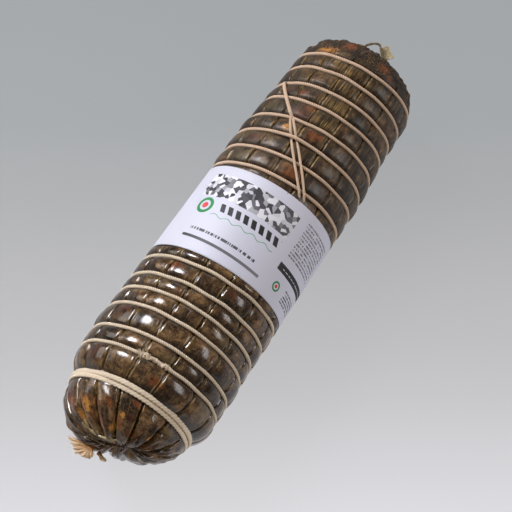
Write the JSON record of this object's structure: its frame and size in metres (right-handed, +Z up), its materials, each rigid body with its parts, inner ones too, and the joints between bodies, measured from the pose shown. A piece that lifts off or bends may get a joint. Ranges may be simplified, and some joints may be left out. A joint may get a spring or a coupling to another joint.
{
  "type": "rolled pancetta",
  "caption": "Whole rolled pancetta in a dark dried casing, tied with rings of twine and wrapped in a paper label, lying on its side.",
  "frame": {"origin": "on the surface it rests on, under the middle of the bounding box", "axes": "+X along the roll from the thick end to the end with the loose cord, +Y to its left, +Z up through the front of the label"},
  "size_m": [0.4242, 0.1216, 0.1198],
  "materials": {
    "casing": "gloss",
    "paper": "satin",
    "twine": "matte",
    "fibre": "matte",
    "dried_casing": "satin"
  },
  "bodies": {
    "root": {"roll": "casing", "label": "paper", "twine_band_1": "twine", "twine_band_2": "twine", "twine_ring_lower_1": "twine", "twine_ring_lower_2": "twine", "twine_ring_lower_3": "twine", "twine_ring_lower_4": "twine", "twine_ring_lower_5": "twine", "twine_ring_lower_6": "twine", "twine_ring_upper_1": "twine", "twine_ring_upper_2": "twine", "twine_ring_upper_3": "twine", "twine_ring_upper_4": "twine", "twine_ring_upper_5": "twine", "twine_ring_upper_6": "twine", "twine_ring_upper_7": "twine", "twine_ring_upper_8": "twine", "twine_knot": "twine", "tie_strand_upper": "twine", "tie_strand_left": "twine", "tie_strand_right": "twine", "tail_lower": "fibre", "tail_lower_small": "fibre", "end_loop": "dried_casing", "tail_upper": "dried_casing"}
  },
  "joints": []
}
